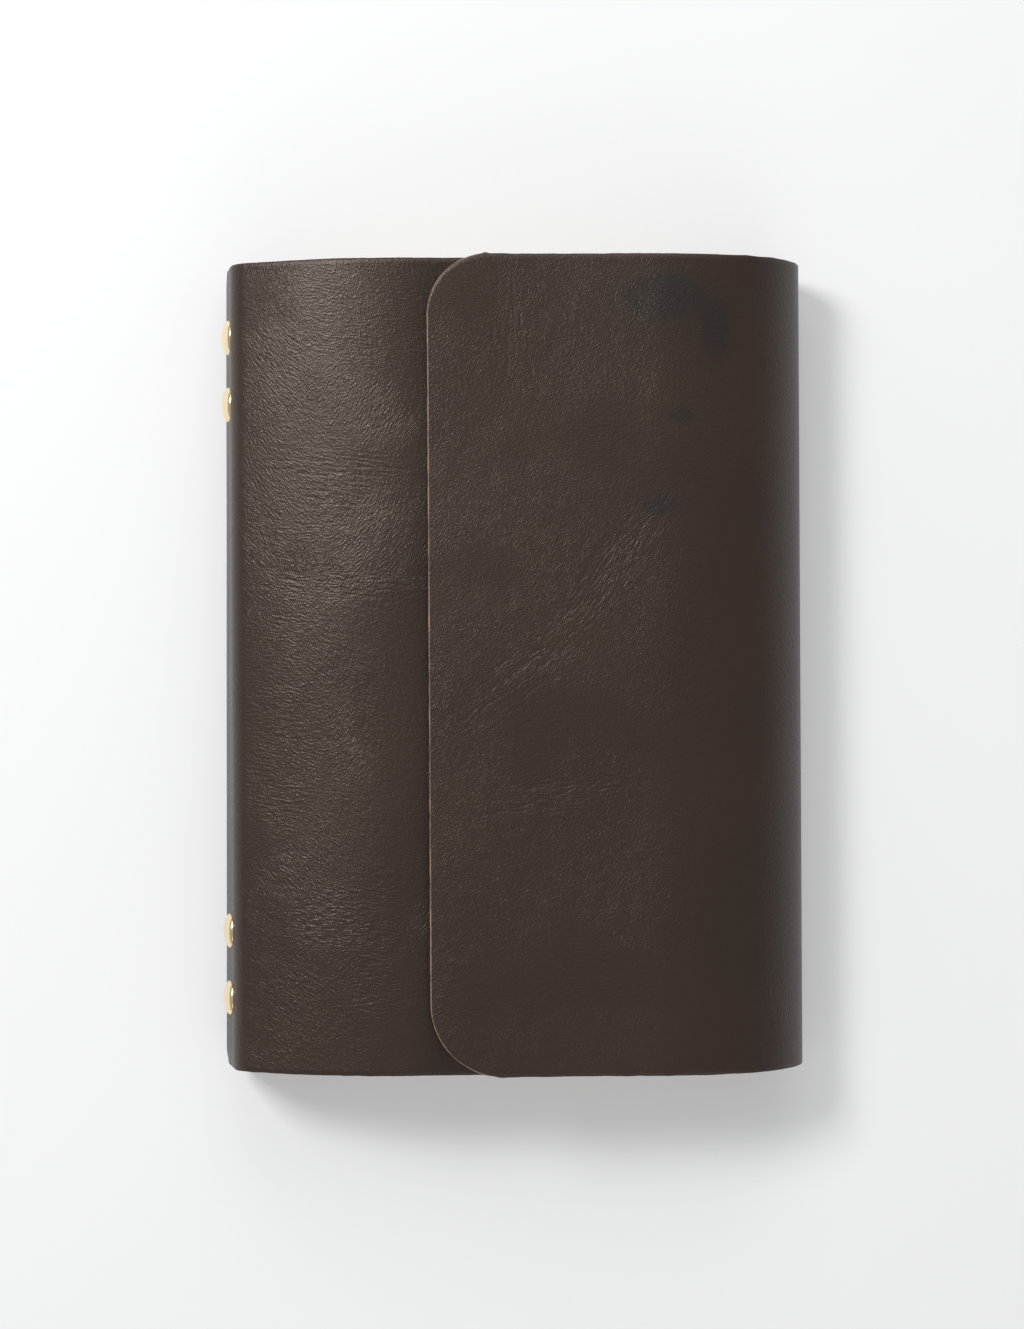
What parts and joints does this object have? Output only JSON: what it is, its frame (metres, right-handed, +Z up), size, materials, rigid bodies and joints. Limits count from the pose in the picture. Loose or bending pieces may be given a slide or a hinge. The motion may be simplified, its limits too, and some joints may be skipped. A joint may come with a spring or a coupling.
{
  "type": "leather notebook cover",
  "caption": "Wrap-around leather notebook cover with a flap folded over the front, domed rivets through the spine, and a ring mechanism holding loose pages inside.",
  "frame": {"origin": "on the table, in the middle of the flat face that the back cover rests on", "axes": "+X from the spine to the fore-edge, +Y along the spine, +Z up from the table through the closed book"},
  "size_m": [0.1375, 0.19, 0.0349],
  "materials": {
    "cover_leather": "waxed full-grain cowhide, dark brown, raw cut edges",
    "rivet_brass": "polished pale brass",
    "ring_wire": "bright nickel plate",
    "mechanism_plate": "bright nickel plate",
    "mechanism_blade": "zinc plated spring steel",
    "paper": "uncoated cream writing paper, cut edges"
  },
  "bodies": {
    "back": {"cover_back": "cover_leather"},
    "spine": {"cover_spine": "cover_leather", "ring_plate": "mechanism_plate", "rivet_back_bottom_inner": "rivet_brass", "rivet_back_bottom_outer": "rivet_brass", "rivet_back_top_inner": "rivet_brass", "rivet_back_top_outer": "rivet_brass", "rivet_bottom_inner": "rivet_brass", "rivet_bottom_outer": "rivet_brass", "rivet_top_inner": "rivet_brass", "rivet_top_outer": "rivet_brass"},
    "shoulder": {"cover_shoulder": "cover_leather"},
    "front": {"cover_front": "cover_leather"},
    "fore_edge": {"cover_fore_edge": "cover_leather"},
    "flap": {"cover_flap": "cover_leather"},
    "ring_upper": {"ring_blade_upper": "mechanism_blade", "half_ring_upper_1": "ring_wire", "half_ring_upper_2": "ring_wire", "half_ring_upper_3": "ring_wire", "half_ring_upper_4": "ring_wire", "half_ring_upper_5": "ring_wire", "half_ring_upper_6": "ring_wire"},
    "ring_lower": {"ring_blade_lower": "mechanism_blade", "half_ring_lower_1": "ring_wire", "half_ring_lower_2": "ring_wire", "half_ring_lower_3": "ring_wire", "half_ring_lower_4": "ring_wire", "half_ring_lower_5": "ring_wire", "half_ring_lower_6": "ring_wire"},
    "lever_top": {"ring_lever_top": "mechanism_plate"},
    "lever_bottom": {"ring_lever_bottom": "mechanism_plate"},
    "pages_upper": {"pages_upper": "paper"},
    "pages_lower": {"pages_lower": "paper"}
  },
  "joints": [
    {"name": "spine_hinge", "type": "hinge", "parent": "back", "child": "spine", "pos_m": [-0.06592, 0, 0.00333], "axis": [0, -1, 0], "range_deg": [0, 99], "deforming": ["cover_flap"]},
    {"name": "shoulder_hinge", "type": "hinge", "parent": "spine", "child": "shoulder", "pos_m": [-0.06553, 0, 0.02249], "axis": [0, -1, 0], "range_deg": [0, 55]},
    {"name": "front_hinge", "type": "hinge", "parent": "shoulder", "child": "front", "pos_m": [-0.04308, 0, 0.03119], "axis": [0, -1, 0], "range_deg": [0, 29.8]},
    {"name": "pages_upper_turn", "type": "hinge", "parent": "spine", "child": "pages_upper", "pos_m": [-0.05269, 0, 0.01361], "axis": [0, -1, 0], "range_deg": [0, 86.9]},
    {"name": "pages_lower_turn", "type": "hinge", "parent": "spine", "child": "pages_lower", "pos_m": [-0.05269, 0, 0.01361], "axis": [0, 1, 0], "range_deg": [0, 99.7]},
    {"name": "fore_edge_hinge", "type": "hinge", "parent": "back", "child": "fore_edge", "pos_m": [0.06439, 0, 0.00381], "axis": [0, 1, 0], "range_deg": [0, 90]},
    {"name": "flap_hinge", "type": "hinge", "parent": "fore_edge", "child": "flap", "pos_m": [0.06021, 0, 0.02678], "axis": [0, 1, 0], "range_deg": [0, 90]},
    {"name": "ring_upper_hinge", "type": "hinge", "parent": "spine", "child": "ring_upper", "pos_m": [-0.06209, 0, 0.02006], "axis": [0, -1, 0], "range_deg": [0, 7]},
    {"name": "ring_lower_hinge", "type": "hinge", "parent": "spine", "child": "ring_lower", "pos_m": [-0.06363, 0, 0.01038], "axis": [0, 1, 0], "range_deg": [0, 7]},
    {"name": "lever_top_hinge", "type": "hinge", "parent": "spine", "child": "lever_top", "pos_m": [-0.06286, 0.0848, 0.01522], "axis": [0.1564, 0, 0.9877], "range_deg": [0, 20]},
    {"name": "lever_bottom_hinge", "type": "hinge", "parent": "spine", "child": "lever_bottom", "pos_m": [-0.06286, -0.0848, 0.01522], "axis": [-0.1564, 0, -0.9877], "range_deg": [0, 20]}
  ],
  "couplings": [
    {"joint": "shoulder_hinge", "follows": "spine_hinge", "ratio": 0.55556},
    {"joint": "front_hinge", "follows": "spine_hinge", "ratio": 0.30101},
    {"joint": "pages_upper_turn", "follows": "spine_hinge", "ratio": 0.87778},
    {"joint": "pages_lower_turn", "follows": "spine_hinge", "ratio": 1.0071},
    {"joint": "flap_hinge", "follows": "fore_edge_hinge", "ratio": 1},
    {"joint": "ring_lower_hinge", "follows": "ring_upper_hinge", "ratio": 1},
    {"joint": "lever_top_hinge", "follows": "ring_upper_hinge", "ratio": 2.8571},
    {"joint": "lever_bottom_hinge", "follows": "ring_upper_hinge", "ratio": 2.8571}
  ]
}
